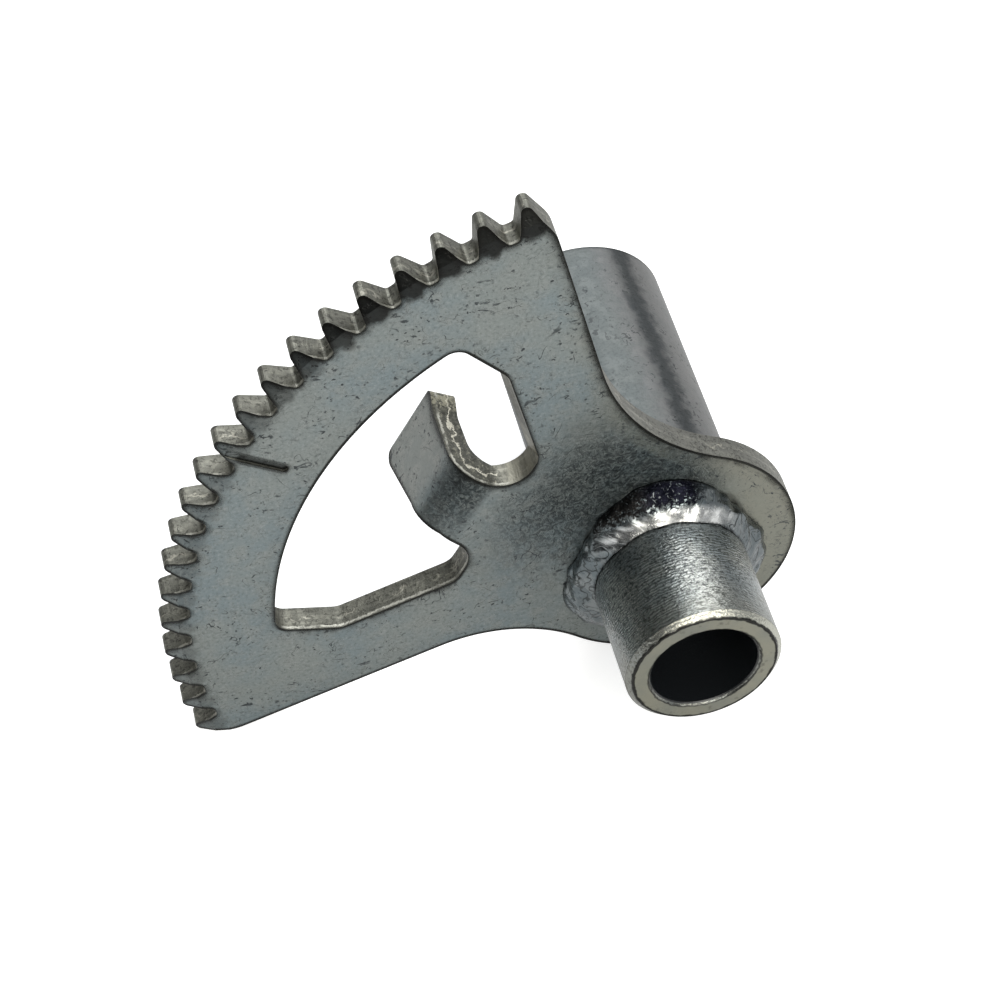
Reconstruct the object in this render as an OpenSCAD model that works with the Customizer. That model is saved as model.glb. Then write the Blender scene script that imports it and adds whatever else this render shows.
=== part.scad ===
// Steering sector gear: a stamped sector plate with twenty teeth, a large
// window with a tab bent back out of it, and a stepped hub sleeve that is
// seated on the back of the plate by its shoulder and welded to the front.
//
// The bore axis is the Y axis. The front face of the plate is y = 0, the short
// end of the sleeve points to -Y and the long end to +Y, and +Z is up.

/* [Sector plate] */
// Thickness of the stamped plate
plate_t = 4.5; // [3.5:0.1:6]
// Direction of the middle of the sector, seen from the front
sector_dir = 149.7; // [120:0.1:180]
// Radius of the round lobe of the plate about the hub
lobe_r = 22.25; // [21:0.05:24]
// Height of the lobe's centre above the bore axis
lobe_up = 0.6; // [0:0.1:1]
// Radius of the hollow blend from the end by the first tooth to the lobe
blend_r_first = 34; // [26:0.5:40]
// Radius of the hollow blend from the end by the last tooth to the lobe
blend_r_last = 24.5; // [18:0.5:34]
// Angle from the middle of the outermost teeth to the straight ends
end_margin = 2.15; // [2:0.05:2.35]
// Rounding between the outermost flanks and the straight ends
end_round = 8; // [2:1:14]

/* [Teeth] */
// Number of teeth on the sector
tooth_count = 20; // [16:1:22]
// Number of teeth that the full circle would have
circle_teeth = 76; // [72:1:80]
// Radius at the tips of the teeth
tip_r = 81.4; // [81:0.1:82]
// Depth of the gaps below the tips
tooth_depth = 4.4; // [4.1:0.05:4.8]
// Lean of each flank from the radial direction
flank_lean = 21; // [19:0.5:23]
// Rounding of the tips
tip_round = 0.95; // [0.8:0.05:1.05]
// Rounding in the corners of the gaps
root_round = 0.7; // [0.4:0.05:0.9]
// Depth at the tips of the roll-off on the front face
roll_depth = 1.35; // [0.6:0.05:1.8]

/* [Window] */
// Radius of the outer edge of the window
win_r = 63.6; // [60:0.1:67]
// Distance from the bore axis to the inner edge of the window
win_in = 31.6; // [31:0.1:32.2]
// Width of the spoke by the first tooth
spoke_w_first = 13.4; // [12:0.1:14]
// Width of the spoke by the last tooth
spoke_w_last = 13.8; // [13:0.1:14.5]
// Distance from the bore axis to the bend in each side edge
win_turn_at = 53.2; // [51:0.1:55]
// Angle that the side edge turns through there
win_turn = 30.5; // [25:0.5:34]
// Rounding of the two outer corners
win_outer_round = 2.6; // [1.5:0.1:3.5]
// Rounding of the bends and of the inner corners
win_round = 3; // [2:0.1:3.5]
// Distance the sheared side wall by the first tooth leans over the thickness
shear_lean = 1; // [0.4:0.1:1.5]

/* [Bent tab] */
// Width of the tab on the side of the first tooth
tab_w_first = 7.3; // [6.8:0.1:7.5]
// Width of the tab on the side of the last tooth, at its waist in the bend
tab_w_last = 5; // [4.5:0.1:5.5]
// Width on that side where its edge would meet the window's inner edge
tab_w_root = 7.25; // [6.5:0.05:7.5]
// Width on that side at the free end
tab_w_end = 7.3; // [6.5:0.1:8]
// Rounding of the notch beside the tab, by the first tooth
notch_r_first = 4.9; // [4.2:0.1:5]
// Rounding of the notch beside the tab, by the last tooth
notch_r_last = 4.6; // [4:0.1:5]
// Distance from the window's inner edge to the start of the bend
bend_from = 5; // [5:0.1:6]
// Radius on the outside of the bend
bend_out_r = 6.2; // [5.5:0.1:7]
// Radius on the inside of the bend
bend_in_r = 4.6; // [1.5:0.1:5]
// Angle by which the bend falls short of a right angle
tab_lean = 3; // [1:0.5:6]
// Reach of the tab behind the front face of the plate
tab_reach = 19.3; // [16:0.1:24]
// Flare of the free end's corner on the side of the first tooth
tab_flare = 1.4; // [0.5:0.1:2]
// Length of the flare
tab_flare_len = 5; // [3:0.1:6]
// Radius of the slightly bowed free end
tab_end_r = 45; // [35:1:60]
// Rounding of the free end's corner on the side of the last tooth
tab_corner_r = 2.6; // [1.5:0.1:3]
// Rounding of the other corner and of the free end's outer edge
tab_edge_r = 1.1; // [0.4:0.1:1.3]

/* [Timing mark] */
// Number of the tooth that carries the struck line, from the first tooth
mark_tooth = 10; // [2:1:15]
// Width of the struck line
mark_w = 1.3; // [0.8:0.05:1.6]
// Angle of the line past the middle of that tooth, towards the last tooth
mark_turn = 0.4; // [-0.5:0.1:0.8]
// Depth of the struck line
mark_depth = 0.5; // [0.3:0.05:0.9]
// Length of the struck line below the bottom of the gaps
mark_len = 7.3; // [5:0.1:10]

/* [Hub sleeve] */
// Diameter of the bore
bore_d = 17.4; // [14:0.1:19]
// Outside diameter of the short front end
front_d = 25.4; // [25.3:0.1:27]
// Length of the front end ahead of the plate
front_len = 24.1; // [16:0.1:40]
// Outside diameter of the long rear end
rear_d = 31.2; // [29:0.1:38]
// Length of the rear end behind the plate
rear_len = 54.5; // [30:0.1:80]
// Diameter of the turned seat in the plate and under the weld
seat_d = 25; // [23.2:0.1:25.2]
// Length of the seat that is left bare between the weld and the front end
seat_bare = 0.4; // [0.3:0.1:1]
// Size of the turned chamfers on the outside edges
edge_chamfer = 0.95; // [0.4:0.05:1.2]
// Size of the turned chamfers at the mouths of the bore
bore_chamfer = 0.5; // [0.2:0.05:0.8]
// Gap all round between the sleeve and the hole in the plate
hole_gap = 0.05; // [0.02:0.01:0.2]

/* [Weld] */
// Mean leg of the weld along the plate
weld_leg_plate = 4.6; // [4:0.1:5]
// How far the leg along the plate grows in the middle of each of the three runs
weld_swell = 1.6; // [0:0.1:2]
// Direction of the middle of the first run, seen from the front
weld_from = 95; // [0:5:115]
// Mean leg of the weld along the sleeve
weld_leg_sleeve = 4.6; // [4:0.1:6]
// Crown of the weld above a flat bead
weld_crown = 0.9; // [0.5:0.1:1.4]
// Number of ripples in the weld
weld_ripples = 48; // [36:4:60]
// Height of the ripples
weld_ripple = 0.16; // [0.05:0.01:0.25]

/* [Hidden] */
$fn = 96;
over = 1;
pitch_a = 360 / circle_teeth;
half_span = (tooth_count - 1) / 2 * pitch_a;
root_r = tip_r - tooth_depth;
sleeve_r = front_d / 2;
seat_r = seat_d / 2;
weld_runs = 3;
ripple_lap = 0.6;

function unit(v) = v / norm(v);
function at(r, a) = [r * cos(a), r * sin(a)];
function angle_of(p) = atan2(p[1], p[0]);
function flip(p, s) = [p[0], s * p[1]];
function mirrored(path) = [for (i = [len(path) - 1 : -1 : 0]) flip(path[i], -1)];
function rest(path) = [for (i = [1 : len(path) - 1]) path[i]];
function turned(path, a) = [for (p = path) at(norm(p), angle_of(p) + a)];
// how far a drawn arc may lie off its true circle
function arc_gap(r) = r < 1 ? 0.012 : 0.006;
function arc(c, r, a0, a1) =
    let (n = max(2, ceil(abs(a1 - a0) / (2 * acos(1 - arc_gap(r) / r)))))
    [for (i = [0 : n]) c + at(r, a0 + (a1 - a0) * i / n)];
// the shorter arc about c from point p to point q
function arc_to(c, p, q) =
    let (a0 = angle_of(p - c), d = angle_of(q - c) - a0)
    arc(c, norm(p - c), a0, a0 + (d > 180 ? d - 360 : d < -180 ? d + 360 : d));
// the path a, b, c with its corner b rounded
function rounded(a, b, c, r) =
    let (h = acos(unit(a - b) * unit(c - b)) / 2, t = r / tan(h))
    arc_to(b + r / sin(h) * unit(unit(a - b) + unit(c - b)),
        b + t * unit(a - b), b + t * unit(c - b));

// One tooth along +X: a round tip, leaning flanks and rounded feet
flank_n = [sin(flank_lean), cos(flank_lean)];
flank_d = [-cos(flank_lean), sin(flank_lean)];
tip_c = [tip_r - tip_round, 0];
flank_top = tip_c + tip_round * flank_n;
foot_m = flank_n * flank_top + root_round;
foot_c = flank_n * foot_m - flank_d * sqrt(pow(root_r + root_round, 2) - foot_m * foot_m);
foot_up = foot_c - flank_n * root_round;
foot_in = foot_c * root_r / (root_r + root_round);
half_tip = arc_to(tip_c, [tip_r, 0], flank_top);
half_tooth = concat(half_tip, arc_to(foot_c, foot_up, foot_in));
tooth = concat(mirrored(half_tooth), rest(half_tooth));
// an outermost flank runs on down to the straight end
end_meet = at(flank_n * flank_top / (flank_n * at(1, end_margin)), end_margin);
end_half = concat(half_tip, rounded(flank_top, end_meet, end_meet / 2, end_round));

// Outline of the plate, with the middle of the sector along +X. The first
// tooth is on the -Y side. A side is drawn for +Y, and mirrored if s is -1.
end_a = half_span + end_margin;
end_d = at(1, end_a);
end_out = at(1, end_a + 90);
lobe_c = at(lobe_up, 90 - sector_dir);
function blend_r(s) = s < 0 ? blend_r_first : blend_r_last;
function blend_at(s) = let (c = flip(lobe_c, s), r = blend_r(s))
    c * end_d + sqrt(pow(lobe_r + r, 2) - pow(r - c * end_out, 2));
function blend_c(s) = blend_at(s) * end_d + blend_r(s) * end_out;
function lobe_from(s) = let (c = flip(lobe_c, s)) c + (blend_c(s) - c) * lobe_r / (lobe_r + blend_r(s));
function blend(s) = arc_to(blend_c(s), blend_at(s) * end_d, lobe_from(s));
lobe_a0 = angle_of(lobe_from(1) - lobe_c);
lobe_a1 = 360 - angle_of(lobe_from(-1) - flip(lobe_c, -1));
lobe = arc(lobe_c, lobe_r, lobe_a0, lobe_a1);

module outline() {
    polygon(concat(
        turned(concat(mirrored(end_half), rest(half_tooth)), -half_span),
        [for (i = [1 : tooth_count - 2]) each turned(tooth, i * pitch_a - half_span)],
        turned(concat(mirrored(half_tooth), rest(end_half)), half_span),
        blend(1), [for (i = [1 : len(lobe) - 2]) lobe[i]], mirrored(blend(-1))));
}

// Outline of the window
bend_at = win_in + bend_from;
waist_at = bend_at + 0.4 * bend_out_r;
side_n = [sin(end_a), -cos(end_a)];
lean_d = at(1, end_a - win_turn);
lean_n = [sin(end_a - win_turn), -cos(end_a - win_turn)];
function spoke_w(s) = s < 0 ? spoke_w_first : spoke_w_last;
function tab_w(s) = s < 0 ? tab_w_first : tab_w_last;
function tab_root(s) = s < 0 ? tab_w_first : tab_w_root;
function notch_r(s) = s < 0 ? notch_r_first : notch_r_last;
function inner_p(s) = [win_in, (win_in * sin(end_a) - spoke_w(s)) / cos(end_a)];
function turn_p(s) = side_n * spoke_w(s) + end_d * sqrt(pow(win_turn_at, 2) - pow(spoke_w(s), 2));
function outer_c(s) = let (m = lean_n * turn_p(s) + win_outer_round)
    lean_n * m + lean_d * sqrt(pow(win_r - win_outer_round, 2) - m * m);
function outer_a(s) = outer_c(s) - lean_n * win_outer_round;
function outer_b(s) = outer_c(s) * win_r / (win_r - win_outer_round);
function side_path(s) = concat(
    rounded([waist_at, tab_w(s)], [win_in, tab_root(s)], inner_p(s), notch_r(s)),
    rounded([win_in, tab_root(s)], inner_p(s), turn_p(s), win_round),
    rounded(inner_p(s), turn_p(s), outer_a(s), win_round),
    arc_to(outer_c(s), outer_a(s), outer_b(s)));
rim = arc([0, 0], win_r, angle_of(outer_b(1)), -angle_of(outer_b(-1)));

module window() {
    polygon(concat(side_path(1), [for (i = [1 : len(rim) - 2]) rim[i]], mirrored(side_path(-1))));
}

// The window through the plate. The side wall by the first tooth leans, so the
// window is narrower at the back there.
module window_cut() {
    intersection() {
        translate([0, 0, -plate_t - over]) linear_extrude(plate_t + 2 * over) window();
        rotate(-end_a) translate([0, spoke_w_first, 0]) rotate([atan(shear_lean / plate_t), 0, 0])
            translate([-win_r, 0, -win_r]) cube([3 * win_r, 2 * win_r, 2 * win_r]);
    }
}

// The teeth roll off towards their tips on the front face, in two slopes
module roll_off() {
    reach = tip_r - root_r;
    knee = [root_r + 0.4 * reach, -0.18 * roll_depth];
    fall = (roll_depth + knee[1]) / (tip_r - knee[0]);
    rotate_extrude($fn = 240) polygon([
        [root_r - 0.1 * reach, 0], knee, [tip_r + over, -roll_depth - over * fall],
        [tip_r + over, over], [root_r - 0.1 * reach, over]]);
}

// Section of the tab along the plate and down its thickness
module tab_section() {
    down = [sin(tab_lean), -cos(tab_lean)];
    inward = [-cos(tab_lean), -sin(tab_lean)];
    bend_c = [bend_at, -bend_out_r];
    bend_end = bend_c - bend_out_r * inward;
    end_out = bend_end + down * (tab_reach + bend_end[1]) / cos(tab_lean);
    back_end = bend_end + plate_t * inward;
    end_in = back_end + down * (tab_reach + back_end[1]) / cos(tab_lean);
    inside = back_end - down * (plate_t + back_end[1]) / down[1];
    polygon(concat([[win_in, 0]], arc_to(bend_c, [bend_at, 0], bend_end),
        rounded(bend_end, end_out, end_in, tab_edge_r), [end_in],
        rounded(end_in, inside, [win_in, -plate_t], bend_in_r), [[win_in, -plate_t]]));
}

// Outline of the tab seen along the plate from its free side
module tab_face() {
    function bow(w) = tab_end_r - sqrt(pow(tab_end_r, 2) - w * w) - tab_reach;
    tip = [0, -tab_reach];
    last = [tab_w_end, bow(tab_w_end)];
    first = [-tab_w_first - tab_flare, bow(tab_w_first)];
    flare = [-tab_w_first, -tab_reach + tab_flare_len];
    waist = [tab_w_last, -bend_out_r];
    polygon(concat([[-tab_w_first, over]], rounded([-tab_w_first, over], flare, first, 3 * tab_edge_r),
        rounded(flare, first, tip, tab_edge_r),
        rounded(first, tip, last, tab_end_r / 2), rounded(tip, last, waist, tab_corner_r),
        [waist, [tab_w_last, over]]));
}

// The tab is a flat strip bent towards the back, with its free end bowed and
// the side by the last tooth drawn in to a waist at the bend
module tab() {
    far = bend_at + 3 * bend_out_r;
    intersection() {
        rotate([90, 0, 0]) translate([0, 0, -2 * tab_w_end]) linear_extrude(4 * tab_w_end) tab_section();
        union() {
            translate([win_in - over, 0, 0]) rotate([90, 0, 90]) linear_extrude(far - win_in) tab_face();
            translate([0, 0, -bend_out_r]) linear_extrude(bend_out_r + over)
                polygon([[win_in, -tab_w_first], [waist_at, -tab_w_first],
                    [waist_at, tab_w_last], [win_in, tab_w_root]]);
        }
    }
}

// The struck line, with a round inner end
module timing_mark() {
    translate([root_r - mark_len, 0, -mark_depth]) {
        translate([0, -mark_w / 2, 0]) cube([mark_len + tooth_depth, mark_w, mark_depth + over]);
        cylinder(d = mark_w, h = mark_depth + over);
    }
}

module sector_plate() {
    color([0.56, 0.6, 0.62]) rotate([90, 0, 0]) rotate(sector_dir) difference() {
        union() {
            difference() {
                translate([0, 0, -plate_t]) linear_extrude(plate_t) outline();
                window_cut();
            }
            tab();
        }
        roll_off();
        rotate((mark_tooth - 1) * pitch_a - half_span + mark_turn) timing_mark();
        translate([0, 0, -plate_t - over]) cylinder(r = seat_r + hole_gap, h = plate_t + 2 * over);
    }
}

module hub_sleeve() {
    bore_r = bore_d / 2;
    rear_r = rear_d / 2;
    back = -plate_t - rear_len;
    color([0.66, 0.69, 0.71]) rotate([90, 0, 0]) rotate_extrude() polygon([
        [bore_r, back + bore_chamfer], [bore_r + bore_chamfer, back],
        [rear_r - edge_chamfer, back], [rear_r, back + edge_chamfer],
        [rear_r, -plate_t], [seat_r, -plate_t],
        [seat_r, weld_leg_sleeve + seat_bare], [sleeve_r, weld_leg_sleeve + seat_bare],
        [sleeve_r, front_len - edge_chamfer], [sleeve_r - edge_chamfer, front_len],
        [bore_r + bore_chamfer, front_len], [bore_r, front_len - bore_chamfer]]);
}

// Section of the weld, with a crowned face, for its two legs. It runs on a
// little way into the sleeve and the plate, where weld_bead cuts it off.
module weld_section(leg_plate, leg_sleeve, sink) {
    half = norm([leg_plate, leg_sleeve]) / 2;
    face_r = (half * half + weld_crown * weld_crown) / (2 * weld_crown);
    inward = unit([-leg_sleeve, -leg_plate]);
    centre = [seat_r + leg_plate / 2, leg_sleeve / 2] + inward * (face_r - weld_crown);
    intersection() {
        translate([seat_r - sink, -sink]) square([2 * leg_plate, leg_sleeve + 2 * sink]);
        translate(centre) circle(face_r);
    }
}

// Fillet weld round the sleeve, laid in three runs, as a ring of ripples that
// lap over each other and stand high and low by turns
module weld_bead() {
    step = 360 / weld_ripples;
    wide = seat_r + 2 * weld_leg_plate;
    color([0.5, 0.53, 0.58]) rotate([90, 0, 0]) difference() {
        for (i = [0 : weld_ripples - 1]) {
            swing = weld_swell * cos(weld_runs * (i * step - weld_from));
            lift = weld_ripple * (i % 2 - 0.5);
            rotate(i * step) rotate_extrude(angle = step + ripple_lap)
                weld_section(weld_leg_plate + swing + lift, weld_leg_sleeve + swing / 16 + lift, 0.5 + lift);
        }
        translate([0, 0, -over]) cylinder(r = seat_r, h = front_len);
        translate([0, 0, -front_len]) cylinder(r = wide, h = front_len);
    }
}

sector_plate();
hub_sleeve();
weld_bead();
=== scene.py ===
"""Looks for the welded sector gear: zinc plated plate, turned sleeve and rippled weld."""

import math

import bmesh
import bpy
from mathutils import Matrix, Vector, noise


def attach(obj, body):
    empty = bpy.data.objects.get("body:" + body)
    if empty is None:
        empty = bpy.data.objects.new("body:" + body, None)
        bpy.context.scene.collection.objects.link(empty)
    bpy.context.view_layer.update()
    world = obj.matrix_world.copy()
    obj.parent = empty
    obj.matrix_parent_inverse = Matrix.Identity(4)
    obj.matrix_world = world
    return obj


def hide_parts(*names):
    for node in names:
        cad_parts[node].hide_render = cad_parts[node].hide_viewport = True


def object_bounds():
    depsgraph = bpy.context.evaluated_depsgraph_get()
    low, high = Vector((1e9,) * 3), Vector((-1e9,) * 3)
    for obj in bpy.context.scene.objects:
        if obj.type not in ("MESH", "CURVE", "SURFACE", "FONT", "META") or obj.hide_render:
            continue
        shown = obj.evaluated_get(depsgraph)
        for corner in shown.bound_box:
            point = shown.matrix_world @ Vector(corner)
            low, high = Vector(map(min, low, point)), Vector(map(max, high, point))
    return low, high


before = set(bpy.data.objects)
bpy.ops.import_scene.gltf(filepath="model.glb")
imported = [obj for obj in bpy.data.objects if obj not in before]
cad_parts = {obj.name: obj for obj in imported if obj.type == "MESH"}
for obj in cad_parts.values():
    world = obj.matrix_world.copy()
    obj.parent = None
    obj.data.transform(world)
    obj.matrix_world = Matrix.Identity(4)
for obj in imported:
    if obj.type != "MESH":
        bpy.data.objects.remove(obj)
cad_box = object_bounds()
MM = 0.001

# Sizes shared with the solids, in millimetres
SECTOR_DIR = math.radians(149.7)
PITCH = math.radians(360 / 76)
ROOT_R = 77.0
BEND_OUT = 36.6
BEND_R = 6.2
MARK_FROM = 69.0
MARK_TURN = math.radians(0.4)
BORE_R = 8.7
SEAT_R = 12.5
REAR_END = 59.0
WELD_LEG = 4.6
WELD_SWELL = 1.6
WELD_FROM = math.radians(95)

# Tones of the plate's faces, as linear red, green and blue
COOL_ZINC = (0.222, 0.266, 0.277)
GREENISH_ZINC = (0.258, 0.282, 0.270)
PALE_ZINC = (0.30, 0.318, 0.303)
DARK_DUST = (0.11, 0.13, 0.135)
PALE_DUST = (0.35, 0.375, 0.37)
WARM_ZINC = (0.232, 0.228, 0.182)
SKIN_BASE = (0.05, 0.064, 0.064)
SKIN_HOLLOW = (0.026, 0.034, 0.037)
SKIN_CREST = (0.25, 0.275, 0.265)
BEND_CREASE = (0.02, 0.023, 0.024)
LOBE_STRIP = (0.29, 0.28, 0.23)
TAB_GREY = (0.20, 0.21, 0.195)
TAB_PALE = (0.27, 0.275, 0.255)
MARK_DARK = (0.04, 0.046, 0.05)
CRACK_DARK = (0.09, 0.10, 0.10)
MARGIN_DARK = (0.10, 0.108, 0.10)
RIM_SHADE = (0.012, 0.012, 0.010)
TOOTH_END_SHADE = (0.014, 0.014, 0.013)
STRUCK_MARK_SHADE = (0.022, 0.023, 0.021)

# Tones of the plate's sheared walls
SHEAR_DARK = (0.135, 0.134, 0.112)
SHEAR_PALE = (0.21, 0.207, 0.172)
LAYER_DARK = (0.09, 0.09, 0.076)
LAYER_PALE = (0.31, 0.305, 0.26)
TOOTH_FLANK = (0.30, 0.30, 0.26)
LOBE_WALL = (0.31, 0.31, 0.295)
TAB_WALL = (0.085, 0.084, 0.07)
GRAIN_DARK = (0.04, 0.039, 0.032)
GRAIN_PALE = (0.26, 0.25, 0.195)
NOTCH_WALL = (0.36, 0.345, 0.28)
TAB_TIP = (0.40, 0.38, 0.29)
TORN_WHITE = (0.66, 0.63, 0.53)
# painted highlight along the rolled front edge of the walls
ROLLED_EDGE_HIGHLIGHT = (0.60, 0.59, 0.52)

# Tones of the sleeve
SLEEVE_COOL = (0.29, 0.32, 0.325)
SLEEVE_PALE = (0.37, 0.38, 0.36)
SLEEVE_SPECK = (0.06, 0.068, 0.07)
# painted light to the right and painted shade on the top and left of the long end
BACK_LIT_RIGHT = (0.215, 0.213, 0.21)
BACK_SHADED_LEFT = (0.088, 0.098, 0.097)
BACK_PATCH = (0.16, 0.17, 0.165)
BACK_DARK_REFLECTION = (0.04, 0.045, 0.048)
# painted dark reflection band on the long end
BACK_SPECK = (0.035, 0.038, 0.04)
BACK_END = (0.03, 0.032, 0.032)
FRONT_WARM = (0.225, 0.22, 0.185)
# painted highlight on the chamfer
CHAMFER_HIGHLIGHT = (0.50, 0.50, 0.44)
RING_GREEN = (0.235, 0.240, 0.205)
RING_WARM = (0.28, 0.275, 0.22)
RING_SPOT = (0.12, 0.115, 0.095)
RING_LINE = (0.012, 0.012, 0.011)
BORE_BLACK = (0.012, 0.014, 0.016)
EDGE_DARK = (0.03, 0.03, 0.028)

# Tones of the weld
WELD_GREY = (0.155, 0.18, 0.19)
WELD_PALE = (0.245, 0.265, 0.27)
# painted highlight on the weld's inner slope
WELD_HIGHLIGHT = (0.78, 0.79, 0.78)
WELD_FLECK = (0.06, 0.07, 0.08)
WELD_SHADE = (0.08, 0.09, 0.095)
WELD_FOLD = (0.045, 0.05, 0.05)
# painted dark reflection on the weld's upper outer slope
DARK_REFLECTION_BROWN = (0.022, 0.021, 0.020)
DARK_REFLECTION_BLUE = (0.009, 0.0095, 0.0155)
TOE_DARK = (0.03, 0.032, 0.034)


class Finish:
    """One node material on Object coordinates in millimetres, built with short calls."""

    def __init__(self, name):
        self.mat = bpy.data.materials.new(name)
        self.mat.use_nodes = True
        self.tree = self.mat.node_tree
        self.tree.nodes.clear()
        out = self.add("ShaderNodeOutputMaterial")
        self.bsdf = self.add("ShaderNodeBsdfPrincipled")
        self.tree.links.new(self.bsdf.outputs[0], out.inputs[0])
        coords = self.add("ShaderNodeTexCoord")
        self.at = self.vec("MULTIPLY", coords.outputs["Object"], (1000, 1000, 1000))
        self.x, self.y, self.z = self.split(self.at)
        normal_x, self.ny, normal_z = self.split(coords.outputs["Normal"])
        self.r = self.length(self.x, self.z)
        self.turn = self.math("ARCTAN2", self.z, self.x)
        self.out, self.side = self.sector(self.x, self.z)
        self.nside = self.sector(normal_x, normal_z)[1]
        self.color = None

    def sector(self, x, z):
        """Along the middle of the sector, and across it towards the last tooth."""
        c, s = math.cos(SECTOR_DIR), math.sin(SECTOR_DIR)
        along = self.plus(self.times(x, c), self.times(z, s))
        across = self.minus(self.times(z, c), self.times(x, s))
        return along, across

    def add(self, kind, **props):
        node = self.tree.nodes.new(kind)
        for key, value in props.items():
            setattr(node, key, value)
        return node

    def put(self, socket, value):
        if isinstance(value, bpy.types.NodeSocket):
            self.tree.links.new(value, socket)
        else:
            socket.default_value = value

    def math(self, op, a, b=None):
        node = self.add("ShaderNodeMath", operation=op)
        for socket, value in zip(node.inputs, (a, b)):
            if value is not None:
                self.put(socket, value)
        return node.outputs[0]

    def times(self, first, *others):
        for other in others:
            first = self.math("MULTIPLY", first, other)
        return first

    def plus(self, a, b):
        return self.math("ADD", a, b)

    def minus(self, a, b):
        return self.math("SUBTRACT", a, b)

    def most(self, a, b):
        return self.math("MAXIMUM", a, b)

    def size(self, value):
        return self.math("ABSOLUTE", value)

    def apart(self, a, b):
        return self.size(self.minus(a, b))

    def length(self, a, b):
        return self.math("SQRT", self.plus(self.times(a, a), self.times(b, b)))

    def blend(self, share, a, b):
        """The value a where share is 0, and b where it is 1."""
        return self.plus(self.times(a, self.minus(1, share)), self.times(b, share))

    def vec(self, op, a, b):
        node = self.add("ShaderNodeVectorMath", operation=op)
        self.put(node.inputs[0], a)
        self.put(node.inputs[1], b)
        return node.outputs[0]

    def split(self, value):
        node = self.add("ShaderNodeSeparateXYZ")
        self.put(node.inputs[0], value)
        return node.outputs

    def join(self, x, y, z):
        node = self.add("ShaderNodeCombineXYZ")
        for socket, value in zip(node.inputs, (x, y, z)):
            self.put(socket, value)
        return node.outputs[0]

    def ramp(self, value, low, high, a=0.0, b=1.0):
        """value from low to high becomes a to b, smoothly, and stops there."""
        node = self.add("ShaderNodeMapRange", interpolation_type="SMOOTHSTEP")
        names = ("Value", "From Min", "From Max", "To Min", "To Max")
        for key, v in zip(names, (value, low, high, a, b)):
            self.put(node.inputs[key], v)
        return node.outputs[0]

    def noise(self, size, detail=3.0, rough=0.55, at=None, twist=0.0):
        """Noise whose lumps are about size millimetres across."""
        node = self.add("ShaderNodeTexNoise")
        self.put(node.inputs["Vector"], at if at is not None else self.at)
        names = ("Scale", "Detail", "Roughness", "Distortion")
        for key, v in zip(names, (1 / size, detail, rough, twist)):
            self.put(node.inputs[key], v)
        return node.outputs["Fac"]

    def mix(self, share, a, b):
        node = self.add("ShaderNodeMix", data_type="RGBA")
        self.put(node.inputs["Factor"], share)
        for key, v in (("A", a), ("B", b)):
            socket = [s for s in node.inputs if s.name == key and s.type == "RGBA"][0]
            self.put(socket, (*v, 1.0) if isinstance(v, tuple) else v)
        return [s for s in node.outputs if s.type == "RGBA"][0]

    def lay(self, share, tone):
        """Lays a tone over the colour so far, where share is above 0."""
        self.color = self.mix(share, self.color, tone)

    def edges(self, radius, start=0.998, sure=0.9, samples=8):
        """1 near sharp edges and 0 away from them, and how far the rounding looks up."""
        round_off = self.add("ShaderNodeBevel", samples=samples)
        self.put(round_off.inputs["Radius"], radius * MM)
        flat = self.add("ShaderNodeNewGeometry")
        dot = self.add("ShaderNodeVectorMath", operation="DOT_PRODUCT")
        self.put(dot.inputs[0], round_off.outputs[0])
        self.put(dot.inputs[1], flat.outputs["Normal"])
        up = self.split(self.vec("SUBTRACT", round_off.outputs[0], flat.outputs["Normal"]))[2]
        return self.ramp(dot.outputs["Value"], start, sure), up

    def finish(self, metallic, roughness, height, strength, distance):
        """Joins the colour and the surface to the shader. distance is in millimetres."""
        relief = self.add("ShaderNodeBump")
        self.put(relief.inputs["Strength"], strength)
        self.put(relief.inputs["Distance"], distance * MM)
        self.put(relief.inputs["Height"], height)
        self.put(self.bsdf.inputs["Normal"], relief.outputs[0])
        self.put(self.bsdf.inputs["Base Color"], self.color)
        self.put(self.bsdf.inputs["Metallic"], metallic)
        self.put(self.bsdf.inputs["Roughness"], roughness)
        return self.mat


def on_the_tab(f):
    """1 on the bent tab, whose walls face along the width of the tab."""
    half_w = f.ramp(f.y, 5, 8, 7.5, 9.8)
    within = f.ramp(f.minus(f.size(f.side), half_w), 0.2, 0)
    return f.times(within, f.ramp(f.out, 31, 33), f.ramp(f.out, 48, 46))


def depth_in_sheet(f, on_tab):
    """How far a spot lies under the front face of the sheet, also round the bend of the tab."""
    past_out = f.most(f.minus(f.out, BEND_OUT), 0)
    past_front = f.most(f.minus(BEND_R, f.y), 0)
    return f.blend(on_tab, f.y, f.minus(BEND_R, f.length(past_out, past_front)))


def dark_skin(f, patch, margin):
    """1 on the crinkled dark skin beside the hub and over the bend of the tab."""
    off_hub = f.length(f.plus(f.x, 4), f.minus(f.z, 8))
    near_hub = f.ramp(f.plus(off_hub, f.times(patch, 8)), 35, 20)
    near_hub = f.times(near_hub, f.ramp(margin, 0, 0.7, 1, 0.15))
    upper = f.ramp(f.plus(f.z, f.times(patch, 14)), 2, 26, 0.2, 1)
    over_bend = f.times(f.ramp(f.apart(f.out, 39.0), 3.8, 1.4), f.ramp(f.side, 9, 8.5),
                        f.ramp(f.side, 5, -6, 0.55, 1.3), f.ramp(f.side, -9, -8.5))
    return f.most(f.times(near_hub, upper, f.ramp(f.x, 14, 2)), over_bend)


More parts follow.
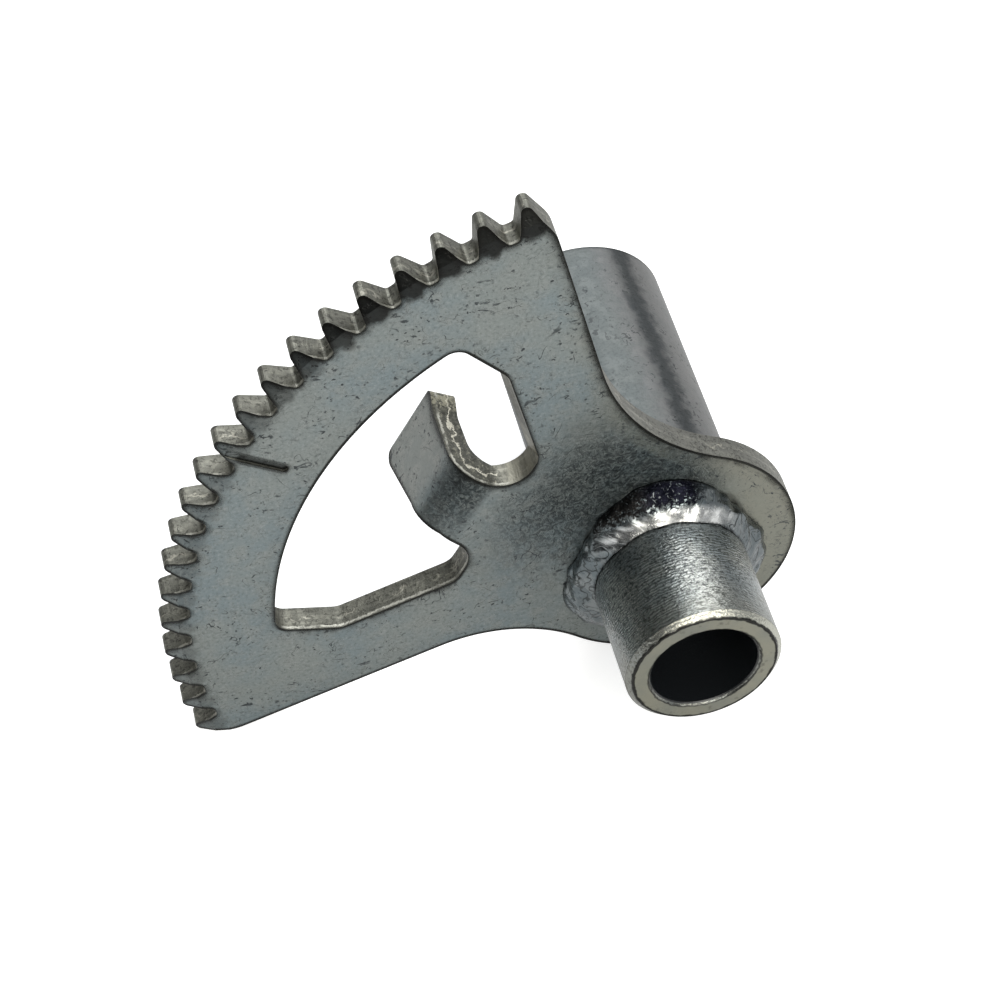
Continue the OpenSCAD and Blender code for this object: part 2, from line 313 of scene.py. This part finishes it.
def pits_and_scuffs(f, margin):
    """1 in fine dark pits, short scuffs and a few long thin scratches."""
    pits = f.ramp(f.noise(0.8, 2, 0.5), 0.61, 0.67)
    drawn = f.join(f.times(f.x, 0.5), f.y, f.z)
    scuffs = f.ramp(f.noise(1.2, 3, 0.5, drawn, 1.2), 0.63, 0.69)
    sparse = f.most(f.ramp(f.noise(6, 2), 0.44, 0.60), margin)
    hair = f.apart(f.noise(6, 3, 0.5, twist=0.5), 0.5)
    hair = f.times(f.ramp(hair, 0.006, 0.002), f.ramp(f.noise(4, 2), 0.52, 0.60))
    return f.most(f.times(f.most(pits, scuffs), sparse), hair)


def paint_faces(f, patch, crinkle, margin, skin, marks):
    """The faces of the sheet: clouded zinc, warm on the lobe, dark where the skin is crinkled."""
    cloud = f.noise(16, 3)
    dust = f.noise(0.55, 2, 0.6)
    f.color = f.mix(f.ramp(cloud, 0.36, 0.64), COOL_ZINC, GREENISH_ZINC)
    f.lay(f.ramp(patch, 0.42, 0.68, 0, 0.6), PALE_ZINC)
    f.lay(f.ramp(dust, 0.52, 0.72, 0, 0.5), DARK_DUST)
    f.lay(f.ramp(dust, 0.46, 0.30, 0, 0.5), PALE_DUST)
    f.lay(f.ramp(f.plus(f.x, f.times(cloud, 12)), 8, 20, 0, 0.8), WARM_ZINC)

    f.lay(f.times(skin, 0.38), SKIN_BASE)
    f.lay(f.times(skin, f.ramp(crinkle, 0.43, 0.57, 0.2, 1), 0.8), SKIN_HOLLOW)
    crease = f.times(f.ramp(f.apart(f.out, 41.2), 2.6, 0.2), f.ramp(f.size(f.side), 9, 8.5),
                     f.ramp(f.side, 6, -7, 0.3, 0.7))
    f.lay(f.times(crease, f.ramp(crinkle, 0.3, 0.6, 0.5, 1)), BEND_CREASE)
    f.lay(f.times(skin, f.ramp(crinkle, 0.41, 0.34), 0.35), SKIN_CREST)
    f.lay(f.times(margin, f.ramp(f.x, -22, -8), f.ramp(f.z, 0, 8), 0.5), LOBE_STRIP)
    tab_face = f.times(f.ramp(f.y, 4, 7), f.ramp(f.out, 40, 41), 0.75)
    f.lay(tab_face, f.mix(f.ramp(patch, 0.38, 0.62), TAB_GREY, TAB_PALE))

    f.lay(f.times(marks, 0.9), MARK_DARK)
    crack = f.apart(f.noise(1.5, 3, 0.6, twist=1.0), 0.5)
    f.lay(f.times(f.ramp(crack, 0.022, 0.006), f.ramp(patch, 0.40, 0.60, 0.2, 0.8),
                  f.ramp(margin, 0, 0.6, 0.5, 1.0)), CRACK_DARK)
    f.lay(f.times(margin, 0.15), MARGIN_DARK)


def paint_walls(f, patch, grain, streak, on_tab, wall):
    """The sheared walls: warmer and blotched, with the torn line half way through the sheet and a
    painted highlight along the rolled front edge.
    """
    depth = depth_in_sheet(f, on_tab)
    face = f.color
    lay = f.noise(0.8, 3, 0.55, f.join(f.times(f.x, 0.12), depth, f.times(f.z, 0.12)))
    f.color = f.mix(f.ramp(streak, 0.32, 0.68), SHEAR_DARK, SHEAR_PALE)
    f.lay(f.ramp(lay, 0.40, 0.62, 0, 0.6), LAYER_DARK)
    f.lay(f.ramp(lay, 0.40, 0.28, 0, 0.7), LAYER_PALE)
    f.lay(f.ramp(f.r, 72, 75, 0, 0.2), TOOTH_FLANK)
    f.lay(f.ramp(f.x, -10, 0, 0, 0.25), LOBE_WALL)
    f.lay(f.times(on_tab, 0.65), TAB_WALL)
    f.lay(f.ramp(grain, 0.5, 0.64, 0, 0.8), GRAIN_DARK)
    f.lay(f.times(on_tab, f.ramp(grain, 0.44, 0.36)), GRAIN_PALE)
    notch = f.times(f.ramp(f.side, -7.4, -9), f.ramp(f.side, -19, -17),
                    f.ramp(f.apart(f.out, 33), 8, 6))
    f.lay(f.times(notch, f.ramp(streak, 0.3, 0.6, 0.35, 0.8)), NOTCH_WALL)
    f.lay(f.times(on_tab, f.ramp(f.y, 15, 16), f.ramp(grain, 0.56, 0.46), 0.8), TAB_TIP)

    ragged = f.plus(depth, f.ramp(f.noise(1.8, 4, 0.6), 0.2, 0.8, -1.0, 1.0))
    torn_here = f.most(on_tab, f.ramp(f.noise(4, 2), 0.52, 0.62, 0, 0.35))
    f.lay(f.times(f.ramp(f.apart(ragged, 2.3), 0.28, 0.12), torn_here, 0.9), TORN_WHITE)
    # a painted highlight line along the rolled front edge of each wall
    highlight_depth = f.plus(depth, f.ramp(grain, 0.3, 0.7, -0.15, 0.15))
    f.lay(f.times(f.ramp(f.apart(highlight_depth, 0.42), 0.3, 0.12), f.ramp(patch, 0.36, 0.5, 0.1, 0.8),
                  f.ramp(f.x, -28, -18, 1, 0.15), f.ramp(notch, 0, 1, 1, 0.35)), ROLLED_EDGE_HIGHLIGHT)
    f.color = f.mix(wall, face, f.color)


def paint_rims(f, wall):
    """The rolled rim along each wall, painted with shade: dark on the plate's side, broader where
    it looks up.
    """
    rim = f.edges(1.7, 0.975, 0.94)[0]
    roll, roll_up = f.edges(3.2, 0.975, 0.94, 6)
    roll = f.times(roll, f.ramp(roll_up, 0.02, 0.12), f.ramp(f.noise(5, 3), 0.42, 0.56, 0.1, 1.0))
    dark = f.most(f.times(rim, 0.97), f.times(roll, 0.85))
    # painted shade along the rolled rim, on the plate's side of each wall
    f.lay(f.times(dark, f.ramp(wall, 0, 1, 1, 0.12)), RIM_SHADE)


def paint_tooth_ends(f, patch, wall):
    """The rolled-off tooth ends, painted with shade and dark reflection: near black by the first
    tooth, a thin dark band by the last.
    """
    in_pitch = f.times(f.math("ARCTAN2", f.side, f.out), 2 * math.pi / PITCH)
    reach = f.minus(f.r, f.times(f.math("COSINE", in_pitch), 0.8))
    reach = f.plus(reach, f.ramp(patch, 0.3, 0.7, -0.6, 0.6))
    ends = f.times(f.ramp(reach, ROOT_R - 1.0, ROOT_R + 0.8), f.minus(1, wall),
                   f.ramp(f.ny, -0.3, -0.6), f.ramp(f.side, 0, -36, 0.36, 1.0))
    # painted shade and dark reflection on the rolled-off tooth ends
    f.lay(f.times(ends, 0.93), TOOTH_END_SHADE)


def paint_struck_mark(f):
    """Painted shade in the mark that is struck between the two middle teeth, over its floor and
    walls.
    """
    off_line = f.size(f.plus(f.side, f.times(f.out, math.tan(PITCH / 2 - MARK_TURN))))
    mark = f.times(f.ramp(off_line, 0.8, 0.55), f.ramp(f.out, MARK_FROM - 0.3, MARK_FROM + 0.3),
                   f.ramp(f.y, 0.8, 0.6), f.ramp(f.r, ROOT_R + 0.8, ROOT_R))
    # painted shade in the struck mark
    f.lay(f.times(mark, 0.8), STRUCK_MARK_SHADE)


def zinc_on_sheet():
    """Satin zinc on the stamped plate: blue grey faces, warmer sheared walls, pits and scuffs."""
    f = Finish("zinc_on_sheet")
    patch = f.noise(3.0, 4, 0.6)
    crinkle = f.noise(0.95, 4, 0.65, twist=1.2)
    grain = f.noise(0.7, 4, 0.7, twist=0.8)
    streak = f.noise(1.1, 4, 0.6, f.join(f.x, f.times(f.y, 0.25), f.z), 0.5)
    margin = f.edges(6, sure=0.97, samples=4)[0]
    on_tab = on_the_tab(f)
    wall = f.blend(on_tab, f.ramp(f.size(f.ny), 0.75, 0.6), f.ramp(f.size(f.nside), 0.6, 0.75))
    skin = dark_skin(f, patch, margin)
    marks = pits_and_scuffs(f, margin)

    paint_faces(f, patch, crinkle, margin, skin, marks)
    paint_walls(f, patch, grain, streak, on_tab, wall)
    paint_rims(f, wall)
    paint_tooth_ends(f, patch, wall)
    paint_struck_mark(f)

    height = f.plus(f.times(crinkle, f.ramp(skin, 0, 1, 0.35, 4.2)),
                    f.times(f.plus(grain, streak), wall))
    height = f.minus(height, f.times(marks, 0.4))
    rough = f.plus(f.ramp(patch, 0.3, 0.7, 0.28, 0.36), f.times(wall, 0.16))
    return f.finish(f.ramp(wall, 0, 1, 0.92, 0.7), rough, height, 0.55, 0.12)


def paint_long_end(f, front):
    """Behind the plate: duller, painted light to the right, painted shade on the top and left, a
    painted dark reflection band near their border, and a few specks.
    """
    patch = f.noise(2.5, 4, 0.6)
    turn = f.plus(f.turn, f.ramp(patch, 0.3, 0.7, -0.05, 0.05))
    short_end = f.color
    # painted light on the right and painted shade on the top and left of the long end
    f.color = f.mix(f.ramp(turn, 1.1, 1.5), BACK_LIT_RIGHT, BACK_SHADED_LEFT)
    f.lay(f.ramp(patch, 0.45, 0.62, 0, 0.35), BACK_PATCH)
    # a painted dark reflection band along the long end
    f.lay(f.ramp(f.apart(turn, 1.04), 0.2, 0.03, 0, 0.88), BACK_DARK_REFLECTION)
    specks = f.times(f.ramp(f.noise(1.0, 3, 0.5, twist=1), 0.60, 0.66),
                     f.ramp(f.noise(6, 2), 0.4, 0.6))
    f.lay(f.times(specks, 0.85), BACK_SPECK)
    f.lay(f.ramp(f.y, REAR_END - 1.7, REAR_END - 1.0, 0, 0.75), BACK_END)
    f.color = f.mix(f.times(f.minus(1, front), 0.92), short_end, f.color)


def paint_end_rings(f, cloud, front, face):
    """The flat ring at each end, the painted highlight on its chamfer, strongest towards the top
    right, and the dark lines along its two borders.
    """
    chamfer = f.times(f.ramp(f.size(f.ny), 0.45, 0.6), f.ramp(f.r, 11, 11.5),
                      f.ramp(f.plus(f.z, f.x), -4, 8, 0.05, 1))
    # painted highlight on the chamfer, strongest towards the top right
    f.lay(chamfer, CHAMFER_HIGHLIGHT)
    ring = f.mix(f.ramp(cloud, 0.35, 0.65), RING_GREEN, RING_WARM)
    ring = f.mix(f.times(f.ramp(f.noise(1.3, 3), 0.58, 0.7), 0.6), ring, RING_SPOT)
    f.lay(face, ring)
    wobble = f.plus(f.r, f.ramp(f.noise(1.5, 3), 0.3, 0.7, -0.12, 0.12))
    outer_line = f.ramp(f.apart(wobble, 11.62), 0.38, 0.18)
    inner_line = f.ramp(f.apart(wobble, 9.2), 0.2, 0.08)
    f.lay(f.times(f.most(outer_line, f.times(inner_line, 0.7)), front, 0.95), RING_LINE)


def zinc_on_sleeve():
    """Zinc on turned steel: tool rings outside, a bare ring at each end and a dark bore."""
    f = Finish("zinc_on_sleeve")
    cloud = f.noise(8, 3)
    fine = f.noise(0.6, 4, 0.7)
    front = f.ramp(f.y, 0.5, -0.5)
    face = f.ramp(f.size(f.ny), 0.8, 0.9)
    inside = f.ramp(f.r, BORE_R + 0.3, BORE_R + 0.1)
    f.color = f.mix(f.ramp(cloud, 0.35, 0.65), SLEEVE_COOL, SLEEVE_PALE)
    f.lay(f.ramp(fine, 0.49, 0.60, 0, 0.8), SLEEVE_SPECK)
    paint_long_end(f, front)
    f.lay(f.ramp(f.y, -14, -24, 0, 0.5), FRONT_WARM)
    paint_end_rings(f, cloud, front, face)
    f.lay(inside, BORE_BLACK)
    f.lay(f.times(f.edges(0.4)[0], 0.6), EDGE_DARK)

    ring_step = 0.55
    sway = f.plus(f.y, f.times(f.noise(1.6, 2), 1.2))
    tool_rings = f.math("SINE", f.times(sway, 2 * math.pi / ring_step))
    outside = f.minus(1.0, f.most(face, inside))
    height = f.plus(f.times(tool_rings, outside, f.ramp(front, 0, 1, 0.1, 0.6)),
                    f.times(fine, f.ramp(front, 0, 1, 1.2, 2.6)))
    rough = f.plus(f.ramp(front, 0, 1, 0.5, 0.27), f.times(face, 0.12))
    return f.finish(f.times(f.minus(1, inside), 0.95), rough, height, 0.7, 0.045)


def zinc_on_weld():
    """Glossy zinc on the weld: grey pads, a painted highlight on the inner slope, painted dark
    reflection on the crinkled upper outer one.
    """
    f = Finish("zinc_on_weld")
    patch = f.noise(3.5, 3)
    scale = f.noise(0.9, 4, 0.65, twist=1.4)
    drift = f.noise(4.5, 2, 0.5, twist=0.6)
    lines = f.apart(f.math("FRACT", f.times(drift, 9)), 0.5)
    f.color = f.mix(f.ramp(patch, 0.4, 0.65), WELD_GREY, WELD_PALE)
    high = f.ramp(f.plus(f.z, f.times(patch, 5)), 9.5, 14)
    inner = f.times(f.ramp(f.plus(f.r, f.times(patch, 2)), 16.2, 15.0), high)
    # painted highlight on the inner slope near the top
    f.lay(inner, WELD_HIGHLIGHT)
    f.lay(f.times(f.ramp(scale, 0.56, 0.66), f.ramp(inner, 0, 1, 0.6, 0.25)), WELD_FLECK)
    f.lay(f.ramp(f.x, 6, 12, 0, 0.35), WELD_SHADE)
    fold = f.times(f.ramp(lines, 0.12, 0.03), f.ramp(inner, 0, 1, 0.75, 0.1))
    f.lay(fold, WELD_FOLD)

    outer = f.ramp(f.plus(f.r, f.times(f.minus(scale, 0.5), 6)), 15.3, 16.0)
    upper = f.ramp(f.plus(f.z, f.times(patch, 4)), 8.5, 10.5)
    scale_and_dark_reflection = f.times(outer, upper, f.ramp(f.x, 8, 4))
    dark_reflection_tint = f.mix(f.ramp(f.x, -6, -2), DARK_REFLECTION_BROWN, DARK_REFLECTION_BLUE)
    # painted dark reflection on the crinkled upper outer slope
    f.lay(f.times(scale_and_dark_reflection, f.ramp(scale, 0.36, 0.42, 0.1, 1.0)), dark_reflection_tint)
    toes = f.most(f.ramp(f.y, -0.55, -0.1), f.ramp(f.r, 12.95, 12.6))
    f.lay(f.times(toes, f.ramp(scale, 0.4, 0.6, 0.3, 0.9)), TOE_DARK)

    height = f.times(f.plus(scale, f.noise(0.4, 2)), f.ramp(scale_and_dark_reflection, 0, 1, 0.22, 1.5))
    height = f.minus(height, f.times(fold, 0.8))
    return f.finish(1.0, f.ramp(patch, 0.3, 0.7, 0.2, 0.32), height, 0.6, 0.12)


def dress(node, material):
    node.data.materials.clear()
    node.data.materials.append(material)


def weld_legs(turn):
    """The two legs of the weld at an angle about the bore: three runs, each wide in its middle."""
    swing = WELD_SWELL * math.cos(3 * (turn - WELD_FROM))
    return WELD_LEG + swing, WELD_LEG + swing / 16


def weld_spot(turn, t):
    """A point on the weld, in millimetres: t is 0 at its toe on the plate, 1 on the sleeve."""
    ring = Vector((math.cos(turn), math.sin(turn)))
    wander = noise.noise(Vector((*(ring * 3), 1.7)))
    lump = noise.noise(Vector((*(ring * 6), 3 * t)))
    fold = noise.noise(Vector((*(ring * 11), 3 * t)))
    bow = 0.34 * math.sin(math.pi * t) + 0.05 * wander
    ripple = math.sin((turn - bow) * 26 + 2 * wander)
    crest = math.sin(math.pi * t) * (1 + 0.35 * math.cos(math.pi * t))
    crown = crest * (0.62 + 0.3 * lump + 0.055 * ripple + 0.12 * fold)
    plate_leg, sleeve_leg = weld_legs(turn)
    plate_leg += (1 - t) * (0.45 * lump - 0.55)
    sleeve_leg += t * (0.5 * wander + 0.15)
    out = Vector((sleeve_leg, plate_leg)).normalized() * crown
    r = SEAT_R + (1 - t) * plate_leg + out.x
    return Vector((r * ring.x, -(t * sleeve_leg + out.y), r * ring.y))


def weld():
    """The weld in three runs: a crowned ring with bowed ripples, flatter pads and folds between.

    The spun blank is a triangle of the seat, the plate and a straight slope of one millimetre.
    Each spot of its slope then moves out to the weld's own surface, and its corner stays."""
    steps, around = 22, 900
    bm = bmesh.new()
    verts = [bm.verts.new((SEAT_R, 0, 0))]
    for i in range(steps + 1):
        verts.append(bm.verts.new((SEAT_R + 1 - i / steps, -i / steps, 0)))
    rim = [bm.edges.new((verts[i - 1], verts[i])) for i in range(len(verts))]
    bmesh.ops.spin(bm, geom=verts + rim, axis=(0, 1, 0), cent=(0, 0, 0), steps=around,
                   angle=2 * math.pi, use_merge=True)
    for v in bm.verts:
        t = -v.co.y
        if t < 1e-6 and math.hypot(v.co.x, v.co.z) < SEAT_R + 0.5:
            continue
        v.co = weld_spot(math.atan2(v.co.z, v.co.x), t)
    bmesh.ops.scale(bm, verts=bm.verts, vec=(MM, MM, MM))
    bmesh.ops.recalc_face_normals(bm, faces=bm.faces)
    mesh = bpy.data.meshes.new("weld_run")
    bm.to_mesh(mesh)
    bm.free()
    mesh.shade_smooth()
    piece = bpy.data.objects.new("weld_run", mesh)
    bpy.context.scene.collection.objects.link(piece)
    piece.data.materials.append(zinc_on_weld())
    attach(piece, "root")
    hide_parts("weld_bead")


class Stage:
    """A node tree for the floor or the world, built with short calls."""

    def __init__(self, block, out_kind):
        block.use_nodes = True
        self.nodes, self.links = block.node_tree.nodes, block.node_tree.links
        self.nodes.clear()
        self.out = self.nodes.new(out_kind)
        self.path = self.nodes.new("ShaderNodeLightPath").outputs

    def node(self, kind, inputs, **props):
        made = self.nodes.new(kind)
        for key, value in props.items():
            setattr(made, key, value)
        for key, value in inputs.items():
            if isinstance(value, bpy.types.NodeSocket):
                self.links.new(value, made.inputs[key])
            else:
                made.inputs[key].default_value = value
        return made.outputs

    def math(self, op, a, b):
        return self.node("ShaderNodeMath", {0: a, 1: b}, operation=op)[0]

    def ramp(self, value, low, high, a, b):
        inputs = {"Value": value, "From Min": low, "From Max": high, "To Min": a, "To Max": b}
        return self.node("ShaderNodeMapRange", inputs, interpolation_type="SMOOTHSTEP")[0]


def stage_floor(level):
    """A white floor that keeps the object's shadow. Its light falls off towards the front."""
    half_width, albedo = 6, 0.8
    bm = bmesh.new()
    bmesh.ops.create_grid(bm, x_segments=1, y_segments=1, size=half_width)
    bmesh.ops.translate(bm, verts=bm.verts, vec=(0, 0, level))
    mesh = bpy.data.meshes.new("floor")
    bm.to_mesh(mesh)
    bm.free()
    floor = bpy.data.objects.new("floor", mesh)
    bpy.context.scene.collection.objects.link(floor)
    mat = bpy.data.materials.new("floor_white")
    mesh.materials.append(mat)

    st = Stage(mat, "ShaderNodeOutputMaterial")
    where = st.node("ShaderNodeTexCoord", {})["Object"]
    front = st.node("ShaderNodeSeparateXYZ", {0: where})[1]
    near = st.ramp(front, -0.36, -0.13, 0.04, 0.78)
    shade = st.math("MULTIPLY", st.math("MAXIMUM", st.path["Is Camera Ray"], near), albedo)
    white = st.node("ShaderNodeCombineColor", {0: shade, 1: shade, 2: shade})[0]
    seen = st.math("MULTIPLY", st.path["Is Camera Ray"], 0.7)
    mirrored = st.math("MULTIPLY", st.math("MULTIPLY", st.path["Is Glossy Ray"], near), 0.45)
    lit = st.node("ShaderNodeBsdfDiffuse", {"Color": white})[0]
    glow = st.node("ShaderNodeEmission", {"Strength": st.math("ADD", seen, mirrored)})[0]
    both = st.node("ShaderNodeAddShader", {0: lit, 1: glow})[0]
    st.links.new(both, st.out.inputs[0])


def stage_world():
    """White for the camera. For the light a soft dome, brighter above and to the right."""
    world = bpy.data.worlds.new("studio")
    bpy.context.scene.world = world
    st = Stage(world, "ShaderNodeOutputWorld")
    direction = st.node("ShaderNodeTexCoord", {})["Generated"]
    towards = st.node("ShaderNodeSeparateXYZ", {0: direction})
    above = st.ramp(towards[2], 0.15, 0.9, 0.05, 0.45)
    to_right = st.ramp(towards[0], 0.0, 0.8, 0.0, 0.38)
    dome = st.node("ShaderNodeBackground", {"Color": (0.95, 0.98, 1.0, 1),
                                            "Strength": st.math("ADD", above, to_right)})[0]
    white = st.node("ShaderNodeBackground", {"Color": (1, 1, 1, 1), "Strength": 1.0})[0]
    both = st.node("ShaderNodeMixShader", {0: st.path["Is Camera Ray"], 1: dome, 2: white})[0]
    st.links.new(both, st.out.inputs[0])


def lamp(name, where, size, power, color):
    """A round lamp that is aimed at the middle of the bore."""
    light = bpy.data.lights.new(name, "AREA")
    light.shape = "DISK"
    light.size = size
    light.energy = power
    light.color = color
    piece = bpy.data.objects.new(name, light)
    bpy.context.scene.collection.objects.link(piece)
    piece.location = where
    piece.rotation_euler = (-Vector(where)).to_track_quat("-Z", "Y").to_euler()


def stage_camera():
    """The photograph's viewpoint: a long lens from in front, above and a little to the left."""
    right = Vector((0.97257961, -0.23027803, -0.03257195))
    down = Vector((-0.19212633, -0.71660704, -0.67049372))
    ahead = Vector((0.13105868, 0.65836645, -0.74119987))
    camera = bpy.data.objects.new("camera", bpy.data.cameras.new("camera"))
    bpy.context.scene.collection.objects.link(camera)
    camera.data.sensor_width = 36
    camera.data.lens = 98.327
    pose = Matrix((right, -down, -ahead)).transposed().to_4x4()
    pose.translation = Vector((-0.08189340, -0.27683744, 0.33318708))
    camera.matrix_world = pose
    bpy.context.scene.camera = camera


dress(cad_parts["sector_plate"], zinc_on_sheet())
dress(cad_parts["hub_sleeve"], zinc_on_sleeve())
weld()
stage_floor(cad_box[0][2])
stage_world()
lamp("lamp_behind", (0.13, 0.66, 0.74), 0.9, 7.0, (0.97, 0.985, 1.0))
lamp("lamp_front", (0.13, -0.85, 0.52), 0.75, 6.5, (1.0, 0.97, 0.9))
stage_camera()
bpy.context.scene.view_settings.view_transform = "Standard"
